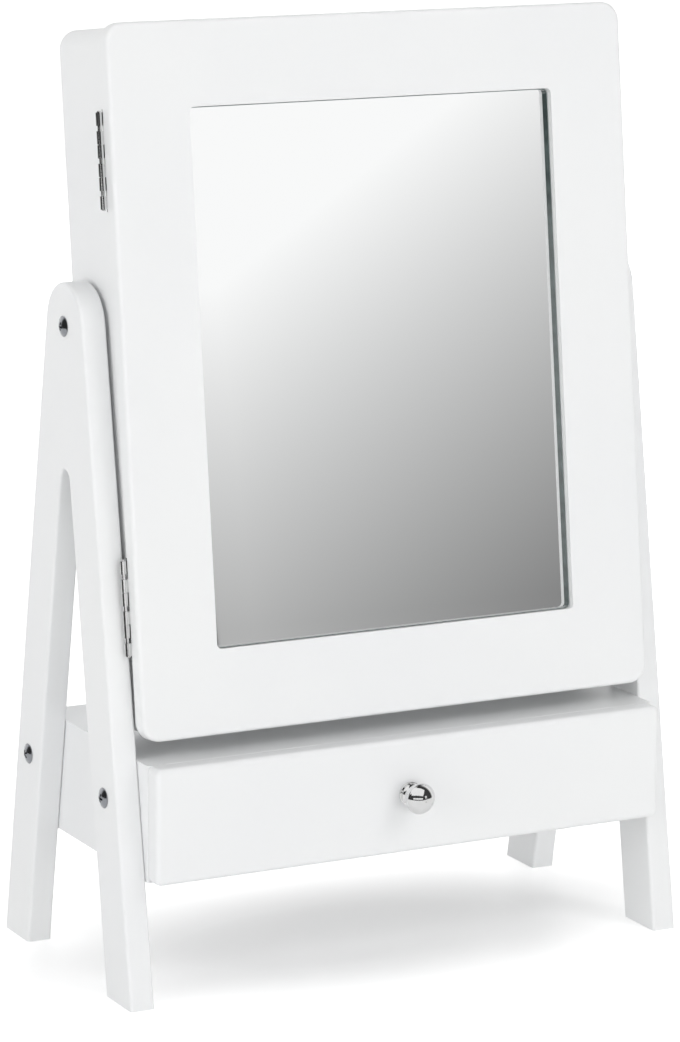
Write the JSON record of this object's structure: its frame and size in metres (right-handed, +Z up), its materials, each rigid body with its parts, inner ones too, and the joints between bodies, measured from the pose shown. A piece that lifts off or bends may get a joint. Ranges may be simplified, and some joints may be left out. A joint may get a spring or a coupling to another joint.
{
  "type": "jewelry mirror cabinet",
  "caption": "Tabletop jewelry cabinet on an A-frame stand: a mirrored door on a tilting shallow cabinet above a drawer with a round knob.",
  "frame": {"origin": "middle of the whole object's box, at the level of the surface that it stands on", "axes": "-Y is the front (mirror and drawer), +Z up, X across; the cabinet leans back 7.2 degrees at rest"},
  "size_m": [0.3074, 0.1678, 0.4635],
  "materials": {
    "white_paint": "satin white paint on board",
    "chrome": "polished",
    "steel": "plain",
    "brass": "plain",
    "nylon": "natural nylon",
    "velvet": "flocked",
    "mirror": "silvered glass",
    "foam_tape": "foam"
  },
  "bodies": {
    "stand": {"left_leg_frame": "white_paint", "right_leg_frame": "white_paint", "unit_screws": "chrome", "pivot_screws": "chrome", "pivot_washers": "nylon", "unit_left_side": "white_paint", "unit_right_side": "white_paint", "unit_top": "white_paint", "unit_floor": "white_paint", "unit_back": "white_paint"},
    "drawer": {"drawer_front": "white_paint", "drawer_left_side": "white_paint", "drawer_right_side": "white_paint", "drawer_back": "white_paint", "drawer_floor": "white_paint", "drawer_lining": "velvet", "knob": "chrome", "knob_rosette": "chrome", "knob_screw": "chrome"},
    "cabinet": {"cabinet_top": "white_paint", "cabinet_bottom": "white_paint", "cabinet_left": "white_paint", "cabinet_right": "white_paint", "cabinet_back": "white_paint", "cabinet_lining": "velvet", "pivot_inserts": "brass", "catch_magnet": "steel", "hook_rail": "white_paint", "necklace_hooks": "chrome", "cabinet_shelf": "white_paint", "shelf_guard": "chrome", "ring_rolls": "velvet", "earring_bars": "white_paint", "cabinet_hinge_leaves": "chrome", "cabinet_hinge_screws": "chrome", "hinge_pins": "chrome"},
    "door": {"door_panel": "white_paint", "mirror_glass": "mirror", "mirror_tape": "foam_tape", "strike_plate": "steel", "door_hinge_leaves": "chrome", "door_hinge_screws": "chrome"}
  },
  "joints": [
    {"name": "cabinet_tilt", "type": "hinge", "parent": "stand", "child": "cabinet", "pos_m": [0, 0.0089, 0.3185], "axis": [-1, 0, 0], "range_deg": [0, 16]},
    {"name": "door_swing", "type": "hinge", "parent": "cabinet", "child": "door", "pos_m": [-0.14085, -0.02363, 0.29439], "axis": [0, -0.1256, -0.9921], "range_deg": [0, 100]},
    {"name": "drawer_slide", "type": "slide", "parent": "stand", "child": "drawer", "axis": [0, -1, 0], "range_m": [0, 0.085]}
  ]
}
